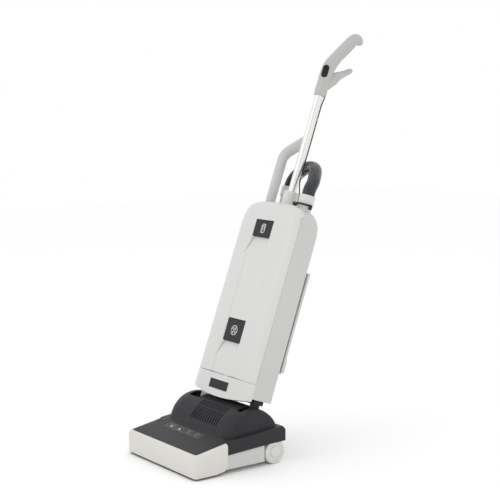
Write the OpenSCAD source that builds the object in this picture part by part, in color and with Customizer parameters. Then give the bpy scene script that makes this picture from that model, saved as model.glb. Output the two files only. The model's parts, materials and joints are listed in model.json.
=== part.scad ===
// Upright vacuum cleaner: power head, tilting bag tower, stored wand and suction hose.
// Units are millimetres. Front is -Y, right hand seen from the front is +X, floor is Z = 0.

/* [Power head] */
// Width of the head over the bumper
head_w = 316; // [280:1:380]
// Height of the tilt axis above the floor
pivot_z = 68; // [60:1:80]
// Distance of the tilt axis behind the bumper face
pivot_y = 193; // [180:1:210]
// Outer radius of the domed motor cover about the tilt axis
dome_r = 81; // [78:0.5:84]
// Rear wheel radius
wheel_r = 31.3; // [28:0.1:35]
// Radius over the brush bristles
brush_r = 30; // [26:0.5:31]

/* [Tower] */
// Backward lean of the tower as it stands
lean = 20; // [0:1:30]
// Half width of the tower at its foot
tower_hw = 126; // [115:1:130]
// Height of the crown of the tower above the tilt axis
tower_top = 619; // [600:1:640]
// Height of the seam between the bag cover and the filter cover
seam_z = 138; // [130:1:150]

/* [Tube and wand] */
// Outer radius of the handle tube
tube_r = 11; // [10:0.5:13]
// Outer radius of the suction hose
hose_r = 18; // [15:0.5:20]
// Outer radius of the wand's straight part
wand_r = 13.5; // [12:0.5:15]

/* [Hidden] */
$fn = 48;
eps = 0.01;
hw = head_w / 2;
shift_y = -336.13;
wall = 3;
tube_y = 10.5;
wand_x = -80;
cuff_x = 78;
cuff_y = 3.5;
riser_x = -82;
riser_y = 63.6;
hinge_x = 45;
hinge_y = -46;
hinge_z = seam_z + 4.4;

// ---------- helpers ----------
function sgn(v) = v < 0 ? -1 : 1;
function sup(v, p) = sgn(v) * pow(abs(v), p);
function cat1(a, b, c, d, t) = 0.5 * (2 * b + (c - a) * t + (2 * a - 5 * b + 4 * c - d) * t * t
    + (3 * b - a - 3 * c + d) * t * t * t);
function at(p, i) = p[min(max(i, 0), len(p) - 1)];
function smooth(p, n) = concat(
    [for (i = [0 : len(p) - 2]) for (k = [0 : n - 1])
        cat1(at(p, i - 1), at(p, i), at(p, i + 1), at(p, i + 2), k / n)],
    [p[len(p) - 1]]);
function unit(v) = v / norm(v);
function xyz(q) = [q[0], q[1], q[2]];

// closed skin through rings of points, each ring with the same count
module skin(rings) {
    n = len(rings[0]);
    m = len(rings);
    pts = [for (r = rings) for (p = r) p];
    sides = [for (i = [0 : m - 2]) for (j = [0 : n - 1]) each [
        [i * n + j, (i + 1) * n + (j + 1) % n, i * n + (j + 1) % n],
        [i * n + j, (i + 1) * n + j, (i + 1) * n + (j + 1) % n]]];
    polyhedron(pts, concat([[for (j = [0 : n - 1]) j]], sides,
        [[for (j = [n - 1 : -1 : 0]) (m - 1) * n + j]]));
}

// tube-like body along a route of [x, y, z, radius across, radius along x]
module sweep(route, n = 24) {
    m = len(route);
    rings = [for (i = [0 : m - 1])
        let (a = xyz(route[max(i - 1, 0)]), b = xyz(route[min(i + 1, m - 1)]),
            t = unit(b - a), ref = abs(t[0]) > 0.9 ? [0, 1, 0] : [1, 0, 0],
            nn = unit(cross(t, ref)), bb = unit(cross(nn, t)))
        [for (j = [0 : n - 1]) xyz(route[i]) + nn * route[i][3] * sin(360 * j / n)
            + bb * route[i][4] * cos(360 * j / n)]];
    skin(rings);
}

module head_frame() {
    translate([0, shift_y, 0]) children();
}

module tower_frame() {
    translate([0, pivot_y + shift_y, pivot_z]) rotate([-lean, 0, 0]) children();
}

module rod_x(x0, x1, y, z, r) {
    translate([x0, y, z]) rotate([0, 90, 0]) cylinder(r = r, h = x1 - x0);
}

module box(x0, x1, y0, y1, z0, z1) {
    translate([x0, y0, z0]) cube([x1 - x0, y1 - y0, z1 - z0]);
}

// wedge about the tilt axis between two lean angles, for slots and openings
module wedge_x(x0, x1, a0, a1, r) {
    translate([x0, pivot_y, pivot_z]) rotate([90, 0, 90])
        linear_extrude(x1 - x0)
            polygon(concat([[0, 0]], [for (k = [0 : 6]) let (a = a0 + (a1 - a0) * k / 6)
                [r * sin(a), r * cos(a)]]));
}

// ---------- power head ----------
module bumper() {
    color([0.86, 0.85, 0.82]) head_frame() difference() {
        hull() {
            for (s = [-1, 1]) {
                translate([s * (hw - 11), 11, 5.5]) cylinder(r1 = 9.5, r2 = 11, h = 3);
                translate([s * (hw - 11), 11, 12]) cylinder(r = 11, h = 40);
                translate([s * (hw - 11), 11, 55]) rotate_extrude() intersection() {
                    translate([2, 0]) circle(r = 9);
                    translate([0, -10]) square(20);
                }
                translate([s * (hw - 9), 100, 70]) rotate([90, 0, 0]) cylinder(r = 9, h = 2);
                translate([s * (hw - 1), 99, 20]) cube([2, 2, 10], center = true);
            }
            box(-hw + 1.5, hw - 1.5, 60, 99, 5.5, 9);
        }
        hull() {
            for (s = [-1, 1]) translate([s * (hw - 16), 16, 0]) cylinder(r = 7, h = 90);
            box(-hw + 9, hw - 9, 90, 101, 0, 90);
        }
        translate([-hw - 1, 0, 0]) rotate([90, 0, 90]) linear_extrude(2 * hw + 2)
            polygon([[62, 5], [66, 5.4], [90, 11], [95, 15], [102, 15], [102, 0], [62, 0]]);
    }
}

module bumper_strip() {
    color([0.16, 0.16, 0.17]) head_frame() difference() {
        hull() for (s = [-1, 1]) for (y = [16, 74]) translate([s * (hw - 18), y, 3.2]) cylinder(r = 14, h = 1.8);
        hull() for (s = [-1, 1]) for (y = [18, 110]) translate([s * (hw - 19), y, 0]) cylinder(r = 9.5, h = 9);
    }
}

module hood_outer() {
    hull() {
        for (s = [-1, 1]) {
            translate([s * (hw - 15), 15, 50]) cylinder(r = 5.4, h = 15.6);
            box(s * (hw - 10.5) - 1, s * (hw - 10.5) + 1, 108, 110, 50, 82);
        }
        box(-120, 120, 108, 112, 50, 85);
    }
    hull() {
        for (s = [-1, 1]) {
            box(s * (hw - 1) - 1, s * (hw - 1) + 1, 101, 102, 50, 77);
            box(s * (hw - 1) - 1, s * (hw - 1) + 1, 281, 283, 58, 88);
            box(s * (hw - 1) - 1, s * (hw - 1) + 1, 170, 190, 54, 88);
            box(s * (hw - 9) - 1, s * (hw - 9) + 1, 104, 110, 60, 83);
            box(s * (hw - 9) - 1, s * (hw - 9) + 1, 250, 281, 60, 94);
        }
    }
}

module dome(r, edge) {
    intersection() {
        hull() {
            rod_x(-103 + edge, 103 - edge, pivot_y, pivot_z, r);
            rod_x(-127 + edge, 127 - edge, pivot_y + 2, pivot_z, r - 1.5);
            rod_x(-137 + edge, 137 - edge, pivot_y + 4, pivot_z, r - 5);
            box(-116 + edge, 116 - edge, 108 + edge, 140, 56, 85 - edge);
            box(-142 + edge, 142 - edge, 128 + edge, 262 - edge, 56, 90 - edge);
        }
        box(-hw, hw, 90, 290, 58, 200);
    }
}

module hood_slots() {
    for (k = [0 : 11])
        translate([-37 + k * 10.1, 147, 124]) rotate([45, 0, 0]) {
            translate([0, -33, -14]) cube([4.4, 37, 30]);
            translate([0, 7, -14]) cube([4.4, 19, 30]);
        }
}

module hood() {
    color([0.24, 0.24, 0.26]) head_frame() difference() {
        union() {
            hood_outer();
            dome(dome_r, 0);
        }
        hull() {
            for (s = [-1, 1]) translate([s * (hw - 17), 17, 40]) cylinder(r = 5, h = 22.6);
            box(-hw + 12, hw - 12, 106, 112, 40, 79.5);
        }
        hull() {
            box(-hw + 3, hw - 3, 104.5, 110, 40, 74);
            box(-hw + 3, hw - 3, 270, 280, 40, 85);
            box(-hw + 12, hw - 12, 250, 279, 40, 90);
        }
        dome(dome_r - 3, 3);
        box(-hw - 1, hw + 1, 279.9, 284, 40, 57);
        hull() {
            box(-hw - 1, hw + 1, 100, 101, 40, 49.9);
            box(-hw - 1, hw + 1, 234, 235, 40, 57);
        }
        box(-hw - 1, hw + 1, 234, 284, 40, 57);
        wedge_x(-113, -67, -20, 92, 100);
        wedge_x(104, 120, -20, 92, 100);
        hood_slots();
        translate([-16, 83, 80.1]) rotate([11.12, 0, 0]) translate([-80, -13, -3]) cube([160, 26, 12]);
        translate([-131, 82, 79]) rotate([11.12, 0, 0]) cylinder(r = 8.3, h = 30, center = true);
    }
}

module indicator_panel() {
    color([0.1, 0.1, 0.11]) head_frame() translate([-16, 83, 80.1]) rotate([11.12, 0, 0]) difference() {
        translate([-79.7, -12.7, -2.9]) cube([159.4, 25.4, 2.5]);
        for (k = [0 : 3]) translate([-51 + 37 * k, -3, -4]) cylinder(r = 3.05, h = 6);
    }
}

module indicator_lenses() {
    color([0.95, 0.95, 0.9]) head_frame() translate([-16, 83, 80.1]) rotate([11.12, 0, 0])
        for (k = [0 : 3]) translate([-51 + 37 * k, -3, -2.9]) cylinder(r = 3, h = 2.8);
}

module release_button() {
    color([0.2, 0.2, 0.22]) head_frame() translate([-131, 82, 79]) rotate([11.12, 0, 0]) difference() {
        translate([0, 0, -7]) cylinder(r = 7.9, h = 8);
        translate([0, 0, 20.2]) sphere(r = 20);
    }
}

module chassis() {
    color([0.78, 0.78, 0.77]) head_frame() difference() {
        union() {
            box(-hw + 9.5, hw - 9.5, 17, 102, 12, 15);
            box(-hw + 17, hw - 17, 12, 18, 12, 15);
            box(-hw + 4, hw - 4, 101, 218, 12, 15);
            box(-118, 118, 215, 278, 12, 15);
            for (s = [-1, 1]) {
                box(s * (hw - 11.25) - 1.75, s * (hw - 11.25) + 1.75, 17, 102, 12, 49);
                box(s * 136 - 18, s * 136 + 18, 215, 218, 12, 56);
                box(s * (hw - 5.5) - 1.5, s * (hw - 5.5) + 1.5, 101, 106, 12, 49);
                box(s * (hw - 5.5) - 1.5, s * (hw - 5.5) + 1.5, 105, 218, 12, 68);
                box(s * 116.5 - 1.5, s * 116.5 + 1.5, 215, 278, 12, 76);
            }
            box(-hw + 4, hw - 4, 101, 104, 12, 49);
            box(-118, 118, 275, 278, 12, 76);
            rod_x(-140, 123, 58, 34, 36);
            for (x = [-118, -66, 97, 121]) difference() {
                hull() {
                    rod_x(x - 2, x + 2, pivot_y, pivot_z, 17);
                    box(x - 2, x + 2, pivot_y - 22, pivot_y + 22, 13, 20);
                }
                rod_x(x - 5, x + 5, pivot_y, pivot_z, 7.05);
            }
        }
        rod_x(-137, 120, 58, 34, 33);
        box(-137, 120, 27, 89, 0, 30);
        box(-137, 139, 30, 86, 0, 16);
        box(-200, 200, 0, 300, -10, 12);
        rod_x(-160, 160, 58, 34, 6.1);
        rod_x(119.9, 122.7, 58, 34, 9.02);
        box(125.5, 138.5, 95, 110, 26, 62);
        box(-107, -73, 80, 106, 21, 50);
        rod_x(90, 130, pivot_y, pivot_z, 7.05);
        rod_x(-200, 200, 252.7, wheel_r, 4.02);
        for (s = [-1, 1]) {
            box(s * 100 - 15.8, s * 100 + 15.8, 102, 126, 0, 16);
            for (y = [132, 262]) translate([s * 60, y, 0]) cylinder(r = 2.1, h = 30);
        }
    }
}

module roller_brackets() {
    color([0.3, 0.3, 0.32]) head_frame() for (s = [-1, 1]) difference() {
        union() {
            for (x = [s * 100 - 15.2, s * 100 + 13.2]) hull() {
                box(x, x + 2, 106, 122, 15.1, 20);
                rod_x(x, x + 2, 114, 10, 5);
            }
            box(s * 100 - 15.2, s * 100 + 15.2, 106, 122, 20, 22);
        }
        rod_x(s * 100 - 20, s * 100 + 20, 114, 10, 2.5);
    }
}

module roller(s) {
    color([0.25, 0.25, 0.26]) head_frame() difference() {
        rod_x(s * 100 - 12, s * 100 + 12, 114, 10, 10);
        rod_x(s * 100 - 13, s * 100 + 13, 114, 10, 2.55);
    }
}
module roller_left() { roller(-1); }
module roller_right() { roller(1); }

module sole_plate() {
    color([0.2, 0.2, 0.21]) head_frame() difference() {
        box(-140.5, 140.5, 20.5, 96.5, 7, 11.9);
        box(-136, 119, 31, 85, 6, 13);
        box(122, 138.5, 31, 85, 8.5, 13);
        for (s = [-1, 1]) for (y = [25.5, 91.5]) translate([s * 120, y, 6]) {
            cylinder(r = 2.1, h = 8);
            cylinder(r1 = 4.5, r2 = 2.1, h = 2.6);
        }
    }
}

module sole_screws() {
    color([0.6, 0.6, 0.62]) head_frame() for (s = [-1, 1]) {
        for (y = [25.5, 91.5]) translate([s * 120, y, 7.2]) {
            cylinder(r = 2, h = 4.6);
            cylinder(r1 = 3.2, r2 = 2, h = 1);
        }
        for (y = [132, 262]) translate([s * 60, y, 9.5]) {
            cylinder(r = 2, h = 14);
            cylinder(r = 4, h = 2.4);
        }
    }
}

module brush_core() {
    color([0.35, 0.35, 0.37]) head_frame() difference() {
        union() {
            rod_x(-134, 117.5, 58, 34, 17);
            rod_x(-142, 139, 58, 34, 5.9);
            rod_x(126, 138, 58, 34, 13);
            for (x = [125, 137.6]) rod_x(x, x + 1.2, 58, 34, 14.8);
        }
        for (k = [0 : 11]) rod_x(127, 137, 58 + 13.4 * cos(30 * k), 34 + 13.4 * sin(30 * k), 0.9);
        for (q = [0, 90, 180, 270]) for (k = [0 : 13])
            translate([-124 + k * 17.8, 58, 34]) rotate([q + 9 * k, 0, 0]) translate([0, 0, 12.4]) cylinder(r = 3, h = 6);
    }
}

module brush_bristles() {
    color([0.12, 0.12, 0.13]) head_frame() for (q = [0, 90, 180, 270]) for (k = [0 : 13])
        translate([-124 + k * 17.8, 58, 34]) rotate([q + 9 * k, 0, 0]) {
            translate([0, 0, 12.45]) cylinder(r = 2.95, h = 4.8);
            translate([0, 0, 17.2]) cylinder(r1 = 2.95, r2 = 5.2, h = brush_r - 17.2);
        }
}

module brush_bearings() {
    color([0.5, 0.5, 0.52]) head_frame() {
        difference() {
            rod_x(-143, -140.3, 58, 34, 9);
            rod_x(-144, -140, 58, 34, 5.96);
        }
        difference() {
            rod_x(120.3, 122.6, 58, 34, 9);
            rod_x(119, 124, 58, 34, 5.96);
        }
    }
}

module drive_belt() {
    color([0.12, 0.12, 0.12]) head_frame() difference() {
        hull() {
            rod_x(128, 136, 58, 34, 14.6);
            rod_x(128, 136, pivot_y, pivot_z, 12.6);
        }
        hull() {
            rod_x(127, 137, 58, 34, 13.05);
            rod_x(127, 137, pivot_y, pivot_z, 11.05);
        }
    }
}

module motor_housing() {
    color([0.62, 0.63, 0.65]) head_frame() difference() {
        union() {
            rod_x(-52, 62, pivot_y, pivot_z, 46);
            rod_x(62, 88, pivot_y, pivot_z, 30);
            rod_x(-52, -30, pivot_y, pivot_z, 52);
            box(-48, 58, pivot_y - 30, pivot_y + 30, 15.05, 40);
        }
        rod_x(-48, 58, pivot_y, pivot_z, 42);
        rod_x(50, 90, pivot_y, pivot_z, 4.06);
        for (k = [0 : 11]) translate([-60, pivot_y, pivot_z]) rotate([30 * k, 0, 0])
            translate([0, -3, 22]) cube([14, 6, 16]);
    }
}

module motor_stator() {
    color([0.45, 0.3, 0.2]) head_frame() difference() {
        rod_x(-14, 46, pivot_y, pivot_z, 41.9);
        rod_x(-15, 47, pivot_y, pivot_z, 24);
    }
}

module motor_rotor() {
    color([0.55, 0.55, 0.58]) head_frame() {
        rod_x(-44, 138, pivot_y, pivot_z, 4);
        rod_x(-10, 42, pivot_y, pivot_z, 23);
        difference() {
            rod_x(126, 138, pivot_y, pivot_z, 11);
            for (k = [0 : 9]) rod_x(127, 137, pivot_y + 11.4 * cos(36 * k), pivot_z + 11.4 * sin(36 * k), 0.9);
        }
        rod_x(-44, -42, pivot_y, pivot_z, 38);
        rod_x(-26, -24, pivot_y, pivot_z, 38);
        for (k = [0 : 8]) translate([-42.1, pivot_y, pivot_z]) rotate([40 * k, 0, 0])
            translate([0, -0.9, 8]) cube([16.2, 1.8, 29]);
    }
}

module intake_duct() {
    color([0.3, 0.3, 0.32]) head_frame() difference() {
        union() {
            box(-110, -70, 104.2, 190, 22.6, 53);
            rod_x(-112, -70, pivot_y, pivot_z, 33);
        }
        box(-107, -73, 95, 185, 25.4, 50);
        rod_x(-109.5, -72.5, pivot_y, pivot_z, 30);
        rod_x(-120, -60, pivot_y, pivot_z, 24);
        wedge_x(-120, -60, -34, 102, 60);
        for (s = [-1, 1]) box(-91 + s * 27 - 7, -91 + s * 27 + 7, pivot_y - 20, pivot_y + 60, 0, 17.9);
    }
}

module trunnions() {
    color([0.6, 0.6, 0.62]) head_frame() {
        rod_x(-120, -100, pivot_y, pivot_z, 7);
        rod_x(-80, -64, pivot_y, pivot_z, 7);
        difference() {
            rod_x(95, 123, pivot_y, pivot_z, 7);
            rod_x(90, 130, pivot_y, pivot_z, 4.6);
        }
    }
}

module axles() {
    color([0.7, 0.7, 0.72]) head_frame() {
        rod_x(-151, 151, 252.7, wheel_r, 4);
        for (s = [-1, 1]) {
            rod_x(s * 100 - 15.6, s * 100 + 15.6, 114, 10, 2.48);
            difference() {
                rod_x(s * 119.6 - 1, s * 119.6 + 1, 252.7, wheel_r, 7);
                rod_x(s * 119.6 - 2, s * 119.6 + 2, 252.7, wheel_r, 4.02);
            }
        }
    }
}

module wheel(s) {
    color([0.88, 0.88, 0.86]) head_frame() translate([s * 138.2, 252.7, wheel_r]) rotate([0, 90 * s, 0]) difference() {
        rotate_extrude($fn = 96) polygon([[4.04, -16.5], [9, -16.5], [9, -10], [26, -10], [26, -16.5], [29, -16.5],
            [wheel_r, -14], [wheel_r, 12.5], [30.4, 15.1], [28, 16.4], [23.5, 16.5], [22.4, 14.5], [14.5, 13.5],
            [13.6, 15.8], [11, 16.3], [0, 16.4], [0, 13.4], [4.04, 13.4]]);
        for (k = [0 : 5]) rotate([0, 0, 60 * k]) translate([17, 0, -17.5]) cylinder(r = 3.2, h = 11);
    }
}
module wheel_left() { wheel(-1); }
module wheel_right() { wheel(1); }

module control_board() {
    color([0.15, 0.4, 0.25]) head_frame() {
        box(-58, 62, 262, 264, 24, 70);
        for (k = [0 : 4]) box(-50 + 22 * k, -38 + 22 * k, 264.1, 271, 30 + 4 * (k % 2), 46 + 5 * (k % 3));
        for (x = [-54, 44]) box(x, x + 4, 258, 266.5, 15.1, 23.9);
    }
}

// ---------- tower ----------
function ring(z, w, f, r, n = 56) = [for (j = [0 : n - 1]) let (a = 360 * j / n, c = cos(a), s = sin(a))
    [w * sup(c, s < 0 ? 0.42 : 0.2), -5 + (s < 0 ? f : r) * sup(s, s < 0 ? 0.5 : 0.2), z]];

module tower_solid(z0, d) {
    skin([ring(z0, tower_hw - d, 45 - d, 48 - d), ring(340, tower_hw - 2 - d, 45 - d, 48 - d),
        ring(552, tower_hw - 4 - d, 45 - d, 48 - d), ring(572, tower_hw - 6 - d, 44 - d, 45 - d),
        ring(588 - d * 0.5, tower_hw - 11 - d, 42 - d, 39 - d), ring(600 - d * 0.7, tower_hw - 19 - d, 38 - d, 30 - d),
        ring(608 - d * 0.8, tower_hw - 30 - d, 32 - d, 20 - d * 0.5), ring(614 - d, tower_hw - 47 - d, 24 - d, 12),
        ring(tower_top - 2 - d, tower_hw - 74, 17, 7), ring(tower_top - d, tower_hw - 98, 9, 4)]);
}

module front_zone(g) {
    box(-200, 200, -90, -28 - g, 0, 579.4 + g);
    hull() {
        box(-200, 200, -90, -28 - g, 578.4 + g, 579.4 + g);
        box(-200, 200, -90, -16 - g, 588 + g, 700);
    }
}

module top_passages(g) {
    translate([0, tube_y, 540]) cylinder(r = 20.5 + g, h = 120);
    translate([wand_x, tube_y, 540]) cylinder(r = 17 + g, h = 120);
    translate([cuff_x, cuff_y, 540]) cylinder(r = 19 + g, h = 120);
    translate([48, -7, 580]) cylinder(r = 4.2 + g, h = 60);
    translate([4, 33.5, 570]) cylinder(r = 2.3 + g, h = 30);
}

module rear_shell() {
    color([0.8, 0.8, 0.79]) tower_frame() difference() {
        tower_solid(100, 0);
        difference() {
            tower_solid(103, 3);
            box(-130, 130, -60, 60, 188, 191);
            box(-130, 130, 28, 31, 100, 191);
        }
        front_zone(0);
        top_passages(0.2);
        box(-104, -60, 20, 60, 104, 150);
        box(-105, -77, -13, 19, 99, 104);
        for (k = [0 : 7]) box(10 + 10 * k, 15 + 10 * k, 27, 60, 120, 165);
        translate([40, 2, 180]) cylinder(r = 20, h = 20);
        for (x = [-50, 95]) translate([x, 1, 95]) cylinder(r = 2.6, h = 10);
        translate([20, 45, 212]) rotate([90, 0, 0]) cylinder(r = 8.05, h = 20, center = true);
        for (s = [-1, 1]) for (z = [260, 430]) translate([s * 30, 45, z]) rotate([90, 0, 0]) cylinder(r = 1.9, h = 20, center = true);
    }
}

module chamber_gasket() {
    color([0.2, 0.2, 0.2]) tower_frame() {
        intersection() {
            difference() {
                tower_solid(103, 3.05);
                tower_solid(102, 6.5);
            }
            box(-200, 200, -27.6, -24, 192, 560);
        }
        box(-117, 117, -27.6, -25, 191.1, 193.4);
    }
}

module filter_cover() {
    color([0.85, 0.85, 0.84]) tower_frame() intersection() {
        difference() {
            tower_solid(60, 0);
            difference() {
                tower_solid(59, 3);
                translate([0, 0, tower_top + 37]) rotate([90, 0, 0]) difference() {
                    cylinder(r = 700, h = 200, center = true, $fn = 180);
                    cylinder(r = 570.5, h = 201, center = true, $fn = 180);
                }
            }
            box(-200, 200, -28.05, 90, 0, 700);
            box(-200, 200, -90, 90, seam_z, 700);
            box(-40.2, 40.2, -60, -48.2, 98, 122.4);
        }
        translate([0, 0, tower_top + 37]) rotate([90, 0, 0]) cylinder(r = 573.5 + 3, h = 200, center = true, $fn = 180);
    }
}

module badge_plate() {
    color([0.17, 0.17, 0.18]) tower_frame() box(-39.9, 39.9, -50, -48.25, 98.3, 122.1);
}

module cover_solid(d) {
    difference() {
        tower_solid(100, d);
        box(-200, 200, -90, 90, 0, seam_z + 0.6);
    }
}

module latch_pocket(z0, z1, d) {
    box(-37.6 - d, 37.6 + d, -60, -36 + d, z0 - d, z1 + d);
}

// finger scoop under a latch, deepest at the latch and running out downwards
module scoop(z, g) {
    hull() {
        box(-33 - g, 37 + g, -60, -43 + g, z - 0.5, z + 0.5 + g);
        box(-50 - g, 40 + g, -60, -49.4 + g, z - 46 - g, z - 45);
    }
}

module front_cover() {
    color([0.87, 0.87, 0.86]) tower_frame() difference() {
        union() {
            intersection() {
                difference() {
                    cover_solid(0);
                    tower_solid(90, 3);
                }
                front_zone(0.6);
            }
            intersection() {
                cover_solid(0);
                front_zone(0.6);
                union() {
                    latch_pocket(514, 561, 2);
                    latch_pocket(227, 289, 2);
                    for (z = [514, 227]) scoop(z, 2.4);
                    box(-124, 124, -44, -29, seam_z + 0.6, seam_z + 3.6);
                }
            }
            for (s = [-1, 1]) for (q = [-1, 1])
                rod_x(s * hinge_x + q * 11 - 4.4, s * hinge_x + q * 11 + 4.4, hinge_y, hinge_z, 3.3);
        }
        hull() latch_pocket(514, 561, 0);
        hull() latch_pocket(227, 289, 0);
        for (z = [514, 227]) scoop(z, 0);
        hull() {
            box(-37, 37, -60, -49.3, 560, 561);
            box(-44, 44, -60, -49.3, seam_z, seam_z + 1);
        }
        difference() {
            box(-200, 200, -60, hinge_y, 100, hinge_z);
            rod_x(-201, 201, hinge_y, hinge_z, 3.9);
        }
        rod_x(-90, 90, hinge_y, hinge_z, 1.55);
        for (s = [-1, 1]) {
            box(s * hinge_x - 6.5, s * hinge_x + 6.5, -48.9, -30, seam_z - 5, hinge_z + 4.6);
            for (z = [557, 285]) rod_x(s * 39 - 3, s * 39 + 3, -45, z, 1.55);
        }
    }
}

module hinge_brackets() {
    color([0.3, 0.3, 0.31]) tower_frame() for (s = [-1, 1]) difference() {
        union() {
            rod_x(s * hinge_x - 6, s * hinge_x + 6, hinge_y, hinge_z, 2.6);
            box(s * hinge_x - 6, s * hinge_x + 6, -46, -38, hinge_z - 1, hinge_z + 2);
            box(s * hinge_x - 6, s * hinge_x + 6, -41.5, -38, seam_z - 24, hinge_z + 2);
            box(s * hinge_x - 6, s * hinge_x + 6, -46.7, -38, seam_z - 24, seam_z - 12);
        }
        rod_x(s * hinge_x - 7, s * hinge_x + 7, hinge_y, hinge_z, 1.55);
    }
}

module hinge_pins() {
    color([0.7, 0.7, 0.72]) tower_frame() for (s = [-1, 1])
        rod_x(s * hinge_x - 15, s * hinge_x + 15, hinge_y, hinge_z, 1.5);
}

module latch(z0, z1) {
    zp = z1 - 4;
    difference() {
        union() {
            box(-36.6, 36.6, -49.3, -45.5, z0 + 0.8, zp);
            rod_x(-36.6, 36.6, -45.5, zp, 3.4);
            box(-30, 30, -46, -42, z0 + 10, zp - 6);
        }
        rod_x(-38, 38, -45, zp, 1.55);
    }
}
module latch_upper() { color([0.18, 0.18, 0.19]) tower_frame() latch(514, 561); }
module latch_lower() { color([0.18, 0.18, 0.19]) tower_frame() latch(227, 289); }

module latch_pins() {
    color([0.7, 0.7, 0.72]) tower_frame() for (z = [557, 285]) rod_x(-41.8, 41.8, -45, z, 1.5);
}

module dust_bag() {
    color([0.9, 0.88, 0.84]) tower_frame() difference() {
        skin([ring(205, 60, 18, 20), ring(212, 92, 24, 30), ring(260, 100, 26, 36),
            ring(480, 100, 26, 36), ring(545, 96, 24, 32), ring(560, 60, 16, 18)]);
        skin([ring(207, 57, 15, 17), ring(214, 89, 21, 27), ring(260, 97, 23, 33),
            ring(480, 97, 23, 33), ring(543, 93, 21, 29), ring(557, 57, 13, 15)]);
    }
}

module bag_collar() {
    color([0.75, 0.7, 0.6]) tower_frame() difference() {
        translate([35, -27, 561]) cube([72, 57, 3]);
        translate([cuff_x, cuff_y, 540]) cylinder(r = 17.8, h = 40);
    }
}

module filters() {
    color([0.93, 0.93, 0.9]) tower_frame() {
        box(-2, 104, -16, 26, 118, 168);
        for (k = [0 : 10]) box(2 + 9.6 * k, 4 + 9.6 * k, -19, -16.05, 120, 166);
        translate([40, 2, 191.1]) cylinder(r = 24, h = 12);
    }
}

module neck_frame() {
    color([0.22, 0.22, 0.23]) tower_frame() difference() {
        union() {
            box(-60, 118, -14, 16, 88, 99.8);
            hull() {
                box(106, 114.4, -16, 8, 88, 99.8);
                rod_x(106, 114.4, 0, 0, 16);
            }
        }
        rod_x(100, 119, 0, 0, 7.06);
        for (x = [-50, 95]) translate([x, 1, 80]) cylinder(r = 2.6, h = 30);
    }
}

module neck_duct() {
    color([0.8, 0.8, 0.79]) tower_frame() difference() {
        union() {
            rod_x(-109, -73, 0, 0, 29.6);
            hull() {
                box(-108, -74, -16, 18, 10, 20);
                box(-108, -74, -16, 22, 98, 99.8);
            }
        }
        rod_x(-106, -76, 0, 0, 27);
        hull() {
            box(-105, -77, -13, 15, 5, 20);
            box(-105, -77, -13, 19, 97, 101);
        }
        rod_x(-120, -60, 0, 0, 7.06);
        translate([-106, 0, 0]) rotate([lean, 0, 0]) box(0, 30, -40, -5, -24, 2);
    }
}

module base_elbow() {
    color([0.8, 0.8, 0.79]) tower_frame() difference() {
        union() {
            box(-108, -74, -16, 22, 103.1, 150);
            box(-102.9, -61.1, 20, 79, 104.5, 149.5);
            translate([riser_x, riser_y, 140]) cylinder(r = 20.3, h = 30);
        }
        box(-105, -77, -13, 60, 100, 146.5);
        box(-99.9, -64.1, 0, 76, 107.5, 146.5);
        translate([riser_x, riser_y, 140]) cylinder(r = 17.35, h = 40);
    }
}

module riser_pipe() {
    color([0.8, 0.8, 0.79]) tower_frame() difference() {
        translate([riser_x, riser_y, 146.6]) cylinder(r = 17.3, h = 503);
        translate([riser_x, riser_y, 140]) cylinder(r = 15.5, h = 520);
    }
}

module cuff(x, y, z) {
    translate([x, y, z]) difference() {
        union() {
            rotate_extrude($fn = 64) polygon([[17.2, 0], [20.6, 0], [21, 1.5], [21.4, 27], [20.9, 29.5], [17.2, 30]]);
        }
        for (k = [0 : 23]) rotate([0, 0, 15 * k]) translate([21.9, 0, 4]) cylinder(r = 0.9, h = 8, $fn = 12);
    }
}

module hose_cuff_front() {
    color([0.87, 0.87, 0.86]) tower_frame() difference() {
        union() {
            cuff(cuff_x, cuff_y, 620);
            translate([cuff_x, cuff_y, 564.2]) cylinder(r = 18.9, h = 56);
        }
        translate([cuff_x, cuff_y, 560]) cylinder(r = 16, h = 64);
    }
}

module hose_cuff_rear() {
    color([0.87, 0.87, 0.86]) tower_frame() translate([0, 0, 2]) cuff(riser_x, riser_y, 648);
}

module wand_socket() {
    color([0.8, 0.8, 0.79]) tower_frame() difference() {
        union() {
            translate([wand_x, tube_y, 566]) cylinder(r = 16.9, h = 40);
            translate([wand_x, tube_y, 604]) cylinder(r = 16.9, h = 9);
        }
        translate([wand_x, tube_y, 569]) cylinder(r = wand_r + 0.1, h = 60);
    }
}

wand_line = smooth([[wand_x, 10.5, 569.4, 13.5, 13.5], [wand_x, 10.5, 690, 13.5, 13.5], [wand_x, 10.5, 732, 13.5, 13.5], [wand_x, 12, 750, 14, 14],
    [wand_x, 21, 767, 15, 14.5], [wand_x, 36, 782, 15.5, 14.5], [wand_x, 56, 801, 15.5, 14.5], [wand_x, 78, 822, 15.5, 14.5]], 4);

module wand() {
    color([0.85, 0.85, 0.84]) tower_frame() {
        difference() {
            sweep(wand_line, 32);
            translate([wand_x, tube_y, 560]) cylinder(r = wand_r - 2, h = 176);
            translate([wand_x, 78, 822]) rotate([-46.4, 0, 0]) translate([0, 0, -52]) cylinder(r = 11.4, h = 60);
        }
    }
}

module tube_collar() {
    color([0.87, 0.87, 0.86]) tower_frame() difference() {
        union() {
            translate([0, tube_y, 560]) cylinder(r = 20.3, h = 60);
            translate([0, tube_y, 612]) rotate_extrude($fn = 64) polygon([[11.06, 0], [20.3, 0], [20.5, 40], [19, 43.5], [11.06, 44.5]]);
        }
        translate([0, tube_y, 555]) cylinder(r = 11.06, h = 120);
        translate([0, tube_y + 10, 590]) rotate([-90, 0, 0]) cylinder(r = 2.1, h = 12);
    }
}

module handle_tube() {
    color([0.8, 0.8, 0.8]) tower_frame() difference() {
        translate([0, tube_y, 562]) cylinder(r = tube_r, h = 400);
        translate([0, tube_y, 561]) cylinder(r = tube_r - 1.5, h = 402);
    }
}

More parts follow.
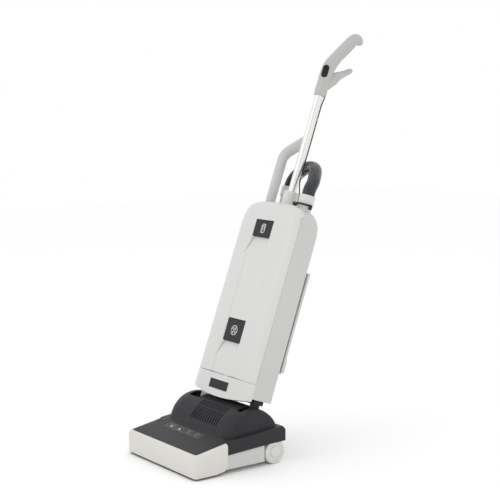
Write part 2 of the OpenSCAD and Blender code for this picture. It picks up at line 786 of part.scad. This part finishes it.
grip_line = smooth([[0, 10.5, 928, 15.5, 15.5], [0, 10.5, 946, 16.2, 16.2], [0, 11, 968, 16.4, 16.4],
    [0, 12, 988, 17.4, 16.6], [0, 15, 1006, 18.8, 16.6], [0, 20, 1022, 18.6, 16.2], [0, 29, 1040, 17.2, 15.4],
    [0, 44, 1066, 16.4, 14.6], [0, 60, 1092, 16, 14.2], [0, 72, 1109, 16, 14.2], [0, 80, 1115, 15.4, 14],
    [0, 88, 1115, 14, 13], [0, 95, 1110, 11.5, 11.5], [0, 99, 1105, 6, 7]], 4);
hook_line = smooth([[0, 18, 950, 10, 12], [0, 29, 968, 14, 11.4], [0, 41, 985, 16.5, 10.4], [0, 54, 999, 12.8, 9.4],
    [0, 68, 1010, 9.2, 8.6], [0, 82, 1021, 8.2, 8.2], [0, 92, 1029, 6.8, 7], [0, 95.5, 1032, 2.5, 3]], 4);

module switch_frame() {
    translate([0, tube_y, 0]) rotate([0, 0, 40]) translate([0, -tube_y, 0]) children();
}

module handle() {
    color([0.84, 0.84, 0.83]) tower_frame() difference() {
        union() {
            sweep(grip_line, 24);
            sweep(hook_line, 20);
        }
        translate([0, tube_y, 920]) cylinder(r = 11.06, h = 42.3);
        switch_frame() hull() for (z = [985, 1004])
            translate([0, -15.6, z]) rotate([90, 0, 0]) cylinder(r = 8.2, h = 30, center = true);
    }
}

module switch_bezel() {
    color([0.13, 0.13, 0.14]) tower_frame() switch_frame() difference() {
        hull() for (z = [985, 1004]) translate([0, -2.7, z]) rotate([90, 0, 0]) cylinder(r = 8, h = 4, center = true);
        hull() for (z = [987, 1002]) translate([0, -5.6, z]) rotate([90, 0, 0]) cylinder(r = 5.6, h = 8, center = true);
    }
}

module switch_slider() {
    color([0.2, 0.2, 0.21]) tower_frame() switch_frame() difference() {
        hull() for (z = [987, 995]) translate([0, -3.9, z]) rotate([90, 0, 0]) cylinder(r = 5.3, h = 4, center = true);
        for (k = [0 : 2]) box(-6, 6, -6.6, -5.2, 987.5 + 3.2 * k, 988.8 + 3.2 * k);
    }
}

module grip_insert() {
    color([0.4, 0.4, 0.41]) tower_frame() for (k = [0 : 8])
        translate([0, 38 + 3.4 * k, 1056 + 5.5 * k]) rotate([-31.6, 0, 0]) intersection() {
            scale([1, 1.14, 1]) cylinder(r = 15.3, h = 2.4);
            translate([-9, 9, -1]) cube([18, 20, 5]);
        }
}

lead_line = smooth([[4, 33.5, 583], [4, 33.5, 610], [4, 33.5, 656], [3, 26, 682], [3, 24, 710], [3, 24, 780], [3, 24, 860],
    [3, 24.4, 905], [3, 27.5, 928], [3, 28, 958]], 3);

module switch_lead() {
    color([0.25, 0.25, 0.27]) tower_frame() sweep([for (p = lead_line) [p[0], p[1], p[2], 1.7, 1.7]], 8);
}

hose_line = smooth([[78, 3.5, 650], [77.5, 4.5, 668], [69, 16, 689], [50, 31, 710], [28, 46, 728], [1, 59, 739],
    [-30, 65, 740], [-59, 66, 726], [-78, 65, 703], [-82, 63.6, 680]], 4);

module hose() {
    color([0.3, 0.31, 0.33]) tower_frame() sweep([for (p = hose_line) [p[0], p[1], p[2], 17.6, 17.6]], 20);
}

module cord_hook() {
    color([0.12, 0.12, 0.13]) tower_frame() {
        translate([48, -7, 598]) cylinder(r = 4.34, h = 24);
        translate([48, -7, 619]) cylinder(r = 6.5, h = 8);
        translate([cuff_x, cuff_y, 620]) rotate([0, 0, 192]) rotate_extrude(angle = 160, $fn = 64) translate([24, 0]) square([4, 4.5]);
        translate([cuff_x, cuff_y, 612]) rotate([0, 0, 350]) translate([23.5, -1.3, 0]) cube([5.2, 7, 13.2]);
    }
}

module rear_clips() {
    color([0.8, 0.8, 0.79]) tower_frame() {
        for (z = [260, 470]) difference() {
            union() {
                translate([riser_x, riser_y, z]) cylinder(r = 20.3, h = 14);
                box(riser_x - 12, riser_x + 12, 43.05, 50, z, z + 14);
            }
            translate([riser_x, riser_y, z - 1]) cylinder(r = 17.35, h = 16);
            box(riser_x - 9, riser_x + 9, riser_y + 14, riser_y + 30, z - 1, z + 15);
        }
        for (z = [260, 430]) for (s = [-1, 1])
            box(72 + s * 17 - 2, 72 + s * 17 + 2, 43.05, 66, z, z + 14);
        box(53, 91, 43.05, 70, 179.6, 183.6);
        box(104, 120, 43.05, 49.5, 186, 452);
        box(106, 121.5, 43.05, 52, 184, 218);
        for (z = [700, 860]) difference() {
            union() {
                translate([0, tube_y, z]) cylinder(r = 12.2, h = 7);
                translate([3, 24, z]) cylinder(r = 3.2, h = 7);
            }
            translate([0, tube_y, z - 1]) cylinder(r = 11.05, h = 10);
            translate([3, 24, z - 1]) cylinder(r = 2.1, h = 10);
            box(-14, 14, tube_y - 20, tube_y + 5, z - 1, z + 9);
        }
    }
}

module crevice_nozzle() {
    color([0.84, 0.84, 0.83]) tower_frame() difference() {
        hull() {
            translate([72, 58.2, 184]) cylinder(r = 14, h = 34);
            box(60, 84, 50, 62, 448, 452);
        }
        translate([72, 58.2, 183]) cylinder(r = 11.5, h = 34);
        hull() {
            translate([72, 58.2, 216]) cylinder(r = 11.5, h = 1);
            box(63, 81, 53, 59, 452, 453);
        }
    }
}

module cable_gland() {
    color([0.15, 0.15, 0.16]) tower_frame() translate([20, 41.1, 212]) rotate([-90, 0, 0]) difference() {
        union() {
            translate([0, 0, -4]) cylinder(r = 8, h = 8);
            translate([0, 0, 2]) cylinder(r1 = 9.6, r2 = 6.4, h = 20);
        }
        translate([0, 0, -5]) cylinder(r = 4.2, h = 40);
        for (k = [0 : 2]) translate([0, 0, 8 + 5 * k]) difference() {
            cylinder(r = 12, h = 2);
            cylinder(r = 5.8, h = 2);
        }
    }
}

module tower_screws() {
    color([0.6, 0.6, 0.62]) tower_frame() {
        for (s = [-1, 1]) for (z = [260, 430])
            translate([s * 30, 38.6, z]) rotate([-90, 0, 0]) {
                cylinder(r = 1.8, h = 4.6);
                translate([0, 0, 4.5]) cylinder(r = 3.6, h = 2.2);
            }
        for (x = [-50, 95]) translate([x, 1, 84]) {
            cylinder(r = 2.5, h = 18.9);
            cylinder(r = 5, h = 3.9);
        }
        translate([0, tube_y + 11.2, 590]) rotate([-90, 0, 0]) cylinder(r = 2, h = 8.4);
    }
}

bumper();
bumper_strip();
hood();
indicator_panel();
indicator_lenses();
release_button();
chassis();
roller_brackets();
roller_left();
roller_right();
sole_plate();
sole_screws();
brush_core();
brush_bristles();
brush_bearings();
drive_belt();
motor_housing();
motor_stator();
motor_rotor();
intake_duct();
trunnions();
axles();
wheel_left();
wheel_right();
control_board();
rear_shell();
chamber_gasket();
filter_cover();
badge_plate();
front_cover();
hinge_brackets();
hinge_pins();
latch_upper();
latch_lower();
latch_pins();
dust_bag();
bag_collar();
filters();
neck_frame();
neck_duct();
base_elbow();
riser_pipe();
rear_clips();
hose_cuff_front();
hose_cuff_rear();
wand_socket();
wand();
tube_collar();
handle_tube();
handle();
switch_bezel();
switch_slider();
grip_insert();
switch_lead();
hose();
cord_hook();
crevice_nozzle();
cable_gland();
tower_screws();
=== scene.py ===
import bpy
import bmesh
import json
import math
from mathutils import Matrix, Vector


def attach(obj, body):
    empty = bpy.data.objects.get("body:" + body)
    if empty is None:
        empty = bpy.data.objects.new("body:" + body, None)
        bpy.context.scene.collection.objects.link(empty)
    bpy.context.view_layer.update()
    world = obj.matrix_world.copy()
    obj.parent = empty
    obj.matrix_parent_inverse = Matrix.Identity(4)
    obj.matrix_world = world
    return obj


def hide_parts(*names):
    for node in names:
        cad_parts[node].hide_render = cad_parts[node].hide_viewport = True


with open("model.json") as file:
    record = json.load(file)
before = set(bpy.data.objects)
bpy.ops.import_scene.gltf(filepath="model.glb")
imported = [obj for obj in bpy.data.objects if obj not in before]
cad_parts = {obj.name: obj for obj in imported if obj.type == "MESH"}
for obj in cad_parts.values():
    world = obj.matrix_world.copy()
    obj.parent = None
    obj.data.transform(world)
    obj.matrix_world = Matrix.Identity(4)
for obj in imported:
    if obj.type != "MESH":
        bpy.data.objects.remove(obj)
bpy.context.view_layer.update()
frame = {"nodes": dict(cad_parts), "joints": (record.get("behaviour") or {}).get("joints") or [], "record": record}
nodes = frame["nodes"]
bodies = frame["record"]["behaviour"]["bodies"]
body_of = {n: b for b, members in bodies.items() for n in members}
slot_of = {s["node"]: s["material_slot"] for s in frame["record"]["subparts"]}
scene = bpy.context.scene

LEAN_DEG = 20          # pictured lean of the tower
DECK_TILT_DEG = 11.12  # slope of the hood's deck
HOSE_R = 0.01745       # metres
HOSE_RIB = 0.00028     # depth of the hose's ribs
LATCH_FACE_Y = -0.0493 # outer plane of the latches, in the tower's frame
SKIN_VOXEL = 0.0009    # even mesh size on the two swept pieces
LENS_X = [-51 + 37 * k for k in range(4)]  # lens centres on the deck panel, millimetres
FAN_Z = 258            # middle of the lower latch up the tower, millimetres
FLOOR_HALF = 6         # metres

# ---------- camera ----------
cam_data = bpy.data.cameras.new("camera")
cam_data.sensor_width = 36
cam_data.lens = 91.9
cam = bpy.data.objects.new("camera", cam_data)
cam.location = (2.6628, -2.0442, 0.982)
cam.rotation_euler = (math.radians(90 - 7.64), 0, math.radians(53.16))
scene.collection.objects.link(cam)
scene.camera = cam

# ---------- frames of the two main bodies, from the tilt joint ----------
tilt = next(j for j in frame["joints"] if j["name"] == "tower_tilt")
pivot = Vector(tilt["pos_m"])
LEAN = Matrix.Rotation(math.radians(-LEAN_DEG), 4, "X")
TOWER = Matrix.Translation(pivot) @ LEAN
HEAD = Matrix.Translation((0, pivot.y - 0.193, 0))


def tower(x, y, z):
    return TOWER @ Vector((x / 1000, y / 1000, z / 1000))


def new_object(name, verts, faces, smooth=True):
    mesh = bpy.data.meshes.new(name)
    mesh.from_pydata([tuple(v) for v in verts], [], faces)
    mesh.validate()
    bm = bmesh.new()
    bm.from_mesh(mesh)
    bmesh.ops.recalc_face_normals(bm, faces=bm.faces)
    bm.to_mesh(mesh)
    bm.free()
    for p in mesh.polygons:
        p.use_smooth = smooth
    o = bpy.data.objects.new(name, mesh)
    scene.collection.objects.link(o)
    return o


# ---------- suction hose ----------
def catmull(p, n):
    out = []
    for i in range(len(p) - 1):
        a, b, c, d = p[max(i - 1, 0)], p[i], p[i + 1], p[min(i + 2, len(p) - 1)]
        for k in range(n):
            t = k / n
            out.append(0.5 * (2 * b + (c - a) * t + (2 * a - 5 * b + 4 * c - d) * t * t
                              + (3 * b - a - 3 * c + d) * t * t * t))
    return out + [p[-1]]


def tube(name, path, radius, around=40):
    n = len(path)
    tang = [(path[min(i + 1, n - 1)] - path[max(i - 1, 0)]).normalized() for i in range(n)]
    side = tang[0].orthogonal().normalized()
    verts, faces = [], []
    for i in range(n):
        side = (side - tang[i] * side.dot(tang[i])).normalized()
        up = tang[i].cross(side)
        r = radius(i) if callable(radius) else radius
        for k in range(around):
            a = 2 * math.pi * k / around
            verts.append(path[i] + side * (r * math.cos(a)) + up * (r * math.sin(a)))
    for i in range(n - 1):
        for k in range(around):
            j = (k + 1) % around
            a, b = i * around, (i + 1) * around
            faces.append((a + k, a + j, b + j, b + k))
    faces.append(tuple(range(around)))
    faces.append(tuple(range((n - 1) * around, n * around)))
    return new_object(name, verts, faces)


# middle line from cuff to cuff, in the tower's frame, millimetres
route = [(78, 3.5, 650), (77.5, 4.5, 668), (69, 16, 689), (50, 31, 710), (28, 46, 728),
         (1, 59, 739), (-30, 65, 740), (-59, 66, 726), (-78, 65, 703), (-82, 63.6, 680)]
line = catmull([tower(*p) for p in route], 20)
hose = tube("hose_skin", line,
            lambda i: HOSE_R - HOSE_RIB * (0.5 + 0.5 * math.cos(i * math.pi / 1.5)))
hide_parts("hose")
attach(hose, "tower")


# ---------- materials ----------
def material(name, color, rough=0.45, spread=0.06, tone=0.04, tone_scale=9.0, grain=900.0,
             bump=0.12, metallic=0.0, coat=0.0, spec=0.5, stretch=None, low_grey=0.0, weave=0.0,
             split=None):
    """Procedural surface: slow tone noise, fine grain bump, roughness that follows the tone.

    stretch draws the noise out along an axis, the option after it mixes a brown grey into the lowest 50 mm, greyer
    towards the bottom, weave adds threads, and split gives every point past one X another colour.
    """
    m = bpy.data.materials.new(name)
    m.use_nodes = True
    t = m.node_tree
    t.nodes.clear()
    N, L = t.nodes.new, t.links.new
    out = N("ShaderNodeOutputMaterial")
    b = N("ShaderNodeBsdfPrincipled")
    L(b.outputs[0], out.inputs[0])
    b.inputs["Metallic"].default_value = metallic
    b.inputs["Coat Weight"].default_value = coat
    b.inputs["Coat Roughness"].default_value = 0.18
    b.inputs["Specular IOR Level"].default_value = spec
    co = N("ShaderNodeTexCoord")
    src = co.outputs["Object"]
    if stretch:
        turn = N("ShaderNodeMapping")
        turn.inputs["Rotation"].default_value = (math.radians(LEAN_DEG), 0, 0)
        L(src, turn.inputs["Vector"])
        sc = N("ShaderNodeMapping")
        sc.inputs["Scale"].default_value = stretch
        L(turn.outputs[0], sc.inputs["Vector"])
        src = sc.outputs[0]
    n1 = N("ShaderNodeTexNoise")
    n1.inputs["Scale"].default_value = tone_scale
    n1.inputs["Detail"].default_value = 5
    L(src, n1.inputs["Vector"])
    n2 = N("ShaderNodeTexNoise")
    n2.inputs["Scale"].default_value = grain
    n2.inputs["Detail"].default_value = 3
    L(src, n2.inputs["Vector"])
    ramp = N("ShaderNodeValToRGB")
    lo = [max(0.0, c * (1 - tone)) for c in color] + [1]
    hi = [min(1.0, c * (1 + tone)) for c in color] + [1]
    ramp.color_ramp.elements[0].position = 0.3
    ramp.color_ramp.elements[1].position = 0.7
    ramp.color_ramp.elements[0].color = lo
    ramp.color_ramp.elements[1].color = hi
    L(n1.outputs["Fac"], ramp.inputs["Fac"])
    colour = ramp.outputs["Color"]
    # greyer towards the bottom: a brown grey, mottled by the tone noise, mixed into the lowest 50 mm and strongest
    # at Z = 0
    if low_grey:
        geo = N("ShaderNodeSeparateXYZ")
        L(co.outputs["Object"], geo.inputs[0])
        rng = N("ShaderNodeMapRange")
        rng.inputs["From Min"].default_value = 0.0
        rng.inputs["From Max"].default_value = 0.05
        rng.inputs["To Min"].default_value = low_grey
        rng.inputs["To Max"].default_value = 0.0
        L(geo.outputs["Z"], rng.inputs["Value"])
        mul = N("ShaderNodeMath")
        mul.operation = "MULTIPLY"
        L(rng.outputs[0], mul.inputs[0])
        L(n1.outputs["Fac"], mul.inputs[1])
        mix = N("ShaderNodeMix")
        mix.data_type = "RGBA"
        L(mul.outputs[0], mix.inputs["Factor"])
        L(colour, mix.inputs["A"])
        mix.inputs["B"].default_value = (0.42, 0.4, 0.36, 1)
        colour = mix.outputs["Result"]
    if split:
        geo = N("ShaderNodeSeparateXYZ")
        L(co.outputs["Object"], geo.inputs[0])
        cmp = N("ShaderNodeMath")
        cmp.operation = "GREATER_THAN"
        cmp.inputs[1].default_value = split[0]
        L(geo.outputs["X"], cmp.inputs[0])
        mix = N("ShaderNodeMix")
        mix.data_type = "RGBA"
        L(cmp.outputs[0], mix.inputs["Factor"])
        L(colour, mix.inputs["A"])
        mix.inputs["B"].default_value = (*split[1], 1)
        colour = mix.outputs["Result"]
    L(colour, b.inputs["Base Color"])
    rr = N("ShaderNodeMapRange")
    rr.inputs["To Min"].default_value = max(0.03, rough - spread)
    rr.inputs["To Max"].default_value = min(1.0, rough + spread)
    L(n1.outputs["Fac"], rr.inputs["Value"])
    L(rr.outputs[0], b.inputs["Roughness"])
    bp = N("ShaderNodeBump")
    bp.inputs["Strength"].default_value = bump
    bp.inputs["Distance"].default_value = 0.0003
    height = n2.outputs["Fac"]
    if weave:
        w = N("ShaderNodeTexWave")
        w.inputs["Scale"].default_value = weave
        L(src, w.inputs["Vector"])
        add = N("ShaderNodeMath")
        L(w.outputs["Fac"], add.inputs[0])
        L(n2.outputs["Fac"], add.inputs[1])
        height = add.outputs[0]
    L(height, bp.inputs["Height"])
    L(bp.outputs[0], b.inputs["Normal"])
    return m


MATS = {
    "bumper": material("m_bumper", (0.66, 0.645, 0.605), 0.42, 0.06, 0.015, 7, 1400, 0.1,
                       low_grey=0.15),
    "trim_black": material("m_trim", (0.012, 0.012, 0.013), 0.45, 0.08, 0.2, 20, 1600,
                           0.12, spec=0.3),
    "charcoal": material("m_charcoal", (0.026, 0.026, 0.029), 0.46, 0.05, 0.1, 12, 2600,
                         0.28, spec=0.2),
    "panel": material("m_panel", (0.014, 0.014, 0.016), 0.32, 0.05, 0.12, 20, 900, 0.04,
                      coat=0.05, spec=0.25),
    "lens": material("m_lens", (0.9, 0.9, 0.87), 0.16, 0.03, 0.03, 30, 600, 0.02, coat=0.4,
                     split=(-0.012, (0.06, 0.06, 0.065))),
    "shell": material("m_shell", (0.555, 0.555, 0.54), 0.4, 0.06, 0.015, 6, 1300, 0.1, low_grey=0.12),
    "rubber": material("m_rubber", (0.018, 0.018, 0.018), 0.7, 0.08, 0.2, 30, 1200, 0.3,
                       spec=0.3),
    "screw": material("m_screw", (0.5, 0.5, 0.51), 0.32, 0.08, 0.08, 80, 2500, 0.15,
                      metallic=1.0),
    "brush_alu": material("m_brush", (0.42, 0.42, 0.44), 0.38, 0.06, 0.08, 60, 1800, 0.15,
                          metallic=1.0,
                          stretch=(0.06, 1, 1)),
    "bristle": material("m_bristle", (0.025, 0.025, 0.027), 0.6, 0.08, 0.3, 300, 3500, 0.7,
                        spec=0.3),
    "cast": material("m_cast", (0.42, 0.43, 0.44), 0.5, 0.08, 0.08, 60, 700, 0.35, metallic=0.9),
    "iron": material("m_iron", (0.16, 0.12, 0.1), 0.55, 0.08, 0.2, 60, 500, 0.3, metallic=0.7,
                     stretch=(30, 1, 1)),
    "steel": material("m_steel", (0.55, 0.55, 0.56), 0.26, 0.07, 0.06, 60, 1500, 0.12,
                      metallic=1.0,
                      stretch=(14, 1, 1)),
    "wheel": material("m_wheel", (0.65, 0.65, 0.63), 0.42, 0.07, 0.02, 14, 1300, 0.12, low_grey=0.25),
    "board": material("m_board", (0.02, 0.1, 0.05), 0.35, 0.06, 0.3, 120, 900, 0.2, coat=0.3),
    "cover": material("m_cover", (0.64, 0.64, 0.625), 0.35, 0.05, 0.01, 5, 1300, 0.08),
    "latch": material("m_latch", (0.022, 0.022, 0.025), 0.42, 0.05, 0.1, 18, 2200, 0.2,
                      spec=0.25),
    "bag_cloth": material("m_bag", (0.66, 0.63, 0.56), 0.9, 0.04, 0.08, 14, 900, 0.7, weave=160),
    "card": material("m_card", (0.46, 0.38, 0.27), 0.85, 0.06, 0.1, 40, 700, 0.4),
    "filter_cloth": material("m_filter", (0.78, 0.78, 0.75), 0.9, 0.04, 0.05, 30, 900, 0.6,
                             weave=260),
    "tube": material("m_tube", (0.78, 0.77, 0.745), 0.3, 0.06, 0.04, 42, 700, 0.1, metallic=0.8,
                     stretch=(1, 1, 0.03)),
    "handle": material("m_handle", (0.455, 0.455, 0.44), 0.45, 0.06, 0.012, 8, 1300, 0.12),
    "cable": material("m_cable", (0.04, 0.04, 0.045), 0.5, 0.08, 0.15, 60, 1200, 0.2, spec=0.3),
    "hose": material("m_hose", (0.02, 0.022, 0.026), 0.24, 0.06, 0.14, 26, 900, 0.12,
                     coat=0.05, spec=0.4),
}
PRINT = material("m_print", (0.78, 0.78, 0.79), 0.5, 0.05, 0.08, 60, 900, 0.05)
PRINT_DIM = material("m_print_dim", (0.26, 0.26, 0.27), 0.5, 0.05, 0.1, 60, 900, 0.05)
WAND = material("m_wand", (0.53, 0.53, 0.52), 0.4, 0.05, 0.012, 8, 1300, 0.1)
# painted highlight: light colour for the ridge line beside the cover's recessed band
RIDGE_HIGHLIGHT_PAINT = material("m_painted_ridge_highlight", (0.74, 0.74, 0.725), 0.4, 0.05, 0.02, 30, 900, 0.05)

hose.data.materials.append(MATS["hose"])
for name, o in nodes.items():
    o.data.materials.clear()
    o.data.materials.append(MATS[slot_of[name]])


# ---------- smooth skins over the faceted shells ----------
def skin_of(node, angle=30, voxel=0.0):
    """Smooth-shaded welded copy of a CAD node, which it then stands in for."""
    src = nodes[node].data
    bm = bmesh.new()
    bm.from_mesh(src)
    bmesh.ops.remove_doubles(bm, verts=bm.verts, dist=1e-5)
    bmesh.ops.dissolve_degenerate(bm, edges=bm.edges, dist=1e-6)
    limit = math.radians(angle)
    for f in bm.faces:
        f.smooth = True
    for e in bm.edges:
        e.smooth = len(e.link_faces) == 2 and e.calc_face_angle(3.2) < limit
    mesh = bpy.data.meshes.new(node + "_skin")
    bm.to_mesh(mesh)
    bm.free()
    o = bpy.data.objects.new(node + "_skin", mesh)
    scene.collection.objects.link(o)
    if voxel:
        mod = o.modifiers.new("even", "REMESH")
        mod.mode = "VOXEL"
        mod.voxel_size = voxel
        mod = o.modifiers.new("calm", "SMOOTH")
        mod.iterations = 5
        mod.factor = 0.5
        bpy.context.view_layer.update()
        deps = bpy.context.evaluated_depsgraph_get()
        mesh = bpy.data.meshes.new_from_object(o.evaluated_get(deps))
        o.modifiers.clear()
        o.data = mesh
        for p in mesh.polygons:
            p.use_smooth = True
    mesh.materials.clear()
    mesh.materials.append(MATS[slot_of[node]])
    for p in mesh.polygons:
        p.material_index = 0
    if not voxel:
        mod = o.modifiers.new("normals", "WEIGHTED_NORMAL")
        mod.keep_sharp = True
    if node == "wand":
        mesh.materials[0] = WAND
    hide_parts(node)
    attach(o, body_of[node])
    return o


# largest angle in degrees that is still shaded smooth
SKINS = {"bumper": 34, "hood": 24, "front_cover": 26, "filter_cover": 30, "rear_shell": 26,
         "wand": 34, "handle": 40, "switch_lead": 50, "dust_bag": 40, "crevice_nozzle": 30,
         "neck_frame": 30, "latch_upper": 30, "latch_lower": 30, "cord_hook": 30, "chassis": 30,
         "switch_slider": 30, "switch_bezel": 30, "bumper_strip": 34, "drive_belt": 34}
for name, a in SKINS.items():
    skin_of(name, a, voxel=SKIN_VOXEL if name in ("handle", "wand") else 0.0)


# ---------- printed pictures and marks ----------
def strokes(name, paths, width, place, body, mat, thick=0.00012):
    """Flat strokes in the XY plane of place, in millimetres, just proud of the surface."""
    verts, faces = [], []

    def face_of(points):
        base = len(verts)
        n = len(points)
        for z in (0.0, thick):
            verts.extend(place @ Vector((x / 1000, y / 1000, z)) for x, y in points)
        faces.append(tuple(range(base + n, base + 2 * n)))
        faces.append(tuple(reversed(range(base, base + n))))
        for i in range(n):
            j = (i + 1) % n
            faces.append((base + i, base + j, base + n + j, base + n + i))

    for p in paths:
        for (x0, y0), (x1, y1) in zip(p, p[1:]):
            d = math.hypot(x1 - x0, y1 - y0) or 1
            ux, uy = (x1 - x0) / d * width * 0.35, (y1 - y0) / d * width * 0.35
            nx, ny = -(y1 - y0) / d * width / 2, (x1 - x0) / d * width / 2
            face_of([(x0 - ux + nx, y0 - uy + ny), (x0 - ux - nx, y0 - uy - ny),
                     (x1 + ux - nx, y1 + uy - ny), (x1 + ux + nx, y1 + uy + ny)])
    o = new_object(name, verts, faces, smooth=False)
    o.data.materials.append(mat)
    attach(o, body)
    return o


def arc(cx, cy, r, a0, a1, n=16):
    return [(cx + r * math.cos(math.radians(a0 + (a1 - a0) * i / n)),
             cy + r * math.sin(math.radians(a0 + (a1 - a0) * i / n))) for i in range(n + 1)]


deck = HEAD @ Matrix.Translation((-0.016, 0.083, 0.0801)) @ Matrix.Rotation(
    math.radians(DECK_TILT_DEG), 4, "X")
panel_top = deck @ Matrix.Translation((0, 0, -0.00038))
bag = [[(-60, 3), (-60, 9), (-54, 9), (-52, 7), (-52, 3), (-60, 3)],
       [(-57, 9), (-57, 11), (-54, 11)], arc(-44, 6, 3.6, 40, 320)]
motor = [arc(-18, 6, 3.8, 0, 360), arc(-18, 6, 1.4, 0, 360), [(-11, 6), (-7, 6), (-7, 2.5)]]
brush = [[(16, 8), (31, 8), (31, 5), (16, 5), (16, 8)]] + [
    [(18 + 2.8 * i, 4.6), (18 + 2.8 * i, 2)] for i in range(5)]
plug = [[(58, 9), (65, 9), (65, 3), (58, 3), (58, 9)], [(65, 7.4), (69, 7.4)],
        [(65, 4.6), (69, 4.6)], arc(54, 6, 3.4, 90, 270)]
frame_line = [[(-77, -10.8), (77, -10.8), (77, 11), (-77, 11), (-77, -10.8)]]
strokes("deck_symbols", bag + motor + brush + plug, 0.9, panel_top, "head", PRINT_DIM)
strokes("deck_frame", frame_line, 0.5, panel_top, "head", PRINT_DIM)
marks = [[(x + 6, -3), (x + 11, -3)] for x in LENS_X]
strokes("deck_marks", marks, 1.0, panel_top, "head", PRINT_DIM)

button_mark = HEAD @ Matrix.Translation((-0.131, 0.0675, 0.07655)) @ Matrix.Rotation(
    math.radians(-3.8), 4, "Y") @ Matrix.Rotation(math.radians(10.5), 4, "X")
strokes("button_mark", [[(-4, -2), (0, 2.5), (4, -2), (-4, -2)]], 1.2, button_mark, "head", PRINT)

# latch pictures, drawn on the flat faces of the two latches
face = TOWER @ Matrix.Translation((0, LATCH_FACE_Y, 0)) @ Matrix.Rotation(math.radians(90), 4, "X")
sack = [[(-7, 526), (-7, 545), (-4, 549), (7, 549), (7, 530), (4, 526), (-7, 526)],
        [(-3, 526), (-3, 544), (-6, 547)], [(-3, 544), (6, 544)], [(4, 534), (4, 540)]]
fan = [arc(0, FAN_Z, 12.5, 0, 360, 30)] + [
    [(r * math.cos(a + turn), FAN_Z + r * math.sin(a + turn))
     for r, turn in ((2.5, 0), (8, 0.35), (9, 0.95))] for a in (0.3, 1.87, 3.44, 5.01)]
strokes("bag_picture", sack, 1.8, face, "upper_latch", PRINT)
# painted highlight: light strokes along the ridge where the cover's recessed band ends, standing in for the light
# its rounded edge catches
painted_ridge_highlight = [[(36.3, 512), (37.6, 440), (40.5, 292)], [(41.6, 226), (43.2, 141)]]
strokes("painted_ridge_highlight", painted_ridge_highlight, 1.3, face, "bag_cover", RIDGE_HIGHLIGHT_PAINT)
strokes("fan_picture", fan, 2.0, face, "lower_latch", PRINT)


# ---------- floor and light ----------
corners = [(-FLOOR_HALF, -FLOOR_HALF, 0), (FLOOR_HALF, -FLOOR_HALF, 0),
           (FLOOR_HALF, FLOOR_HALF, 0), (-FLOOR_HALF, FLOOR_HALF, 0)]
floor = new_object("floor", corners, [(0, 1, 2, 3)], smooth=False)
floor.location.z = -0.0002
floor.data.materials.append(material("m_floor", (0.985, 0.985, 0.985), 0.95, 0.03, 0.004, 2, 60,
                                     0.02, spec=0.2))

world = bpy.data.worlds.new("world")
scene.world = world
world.use_nodes = True
bg = world.node_tree.nodes["Background"]
bg.inputs[0].default_value = (1, 1, 1, 1)
bg.inputs[1].default_value = 1.0


def area(name, loc, size, power, target=(0, 0, 0.5)):
    d = bpy.data.lights.new(name, "AREA")
    d.shape = "RECTANGLE"
    d.size = size[0]
    d.size_y = size[1]
    d.energy = power
    o = bpy.data.objects.new(name, d)
    o.location = loc
    o.rotation_euler = (Vector(target) - Vector(loc)).to_track_quat("-Z", "Y").to_euler()
    scene.collection.objects.link(o)


area("key", (-0.6, -3.2, 2.6), (1.8, 1.8), 11)
area("side", (3.4, 0.6, 1.6), (1.2, 2.2), 2)
area("top", (0.3, 0.4, 3.4), (2.4, 2.4), 4)
scene.view_settings.view_transform = "Standard"
scene.view_settings.look = "None"
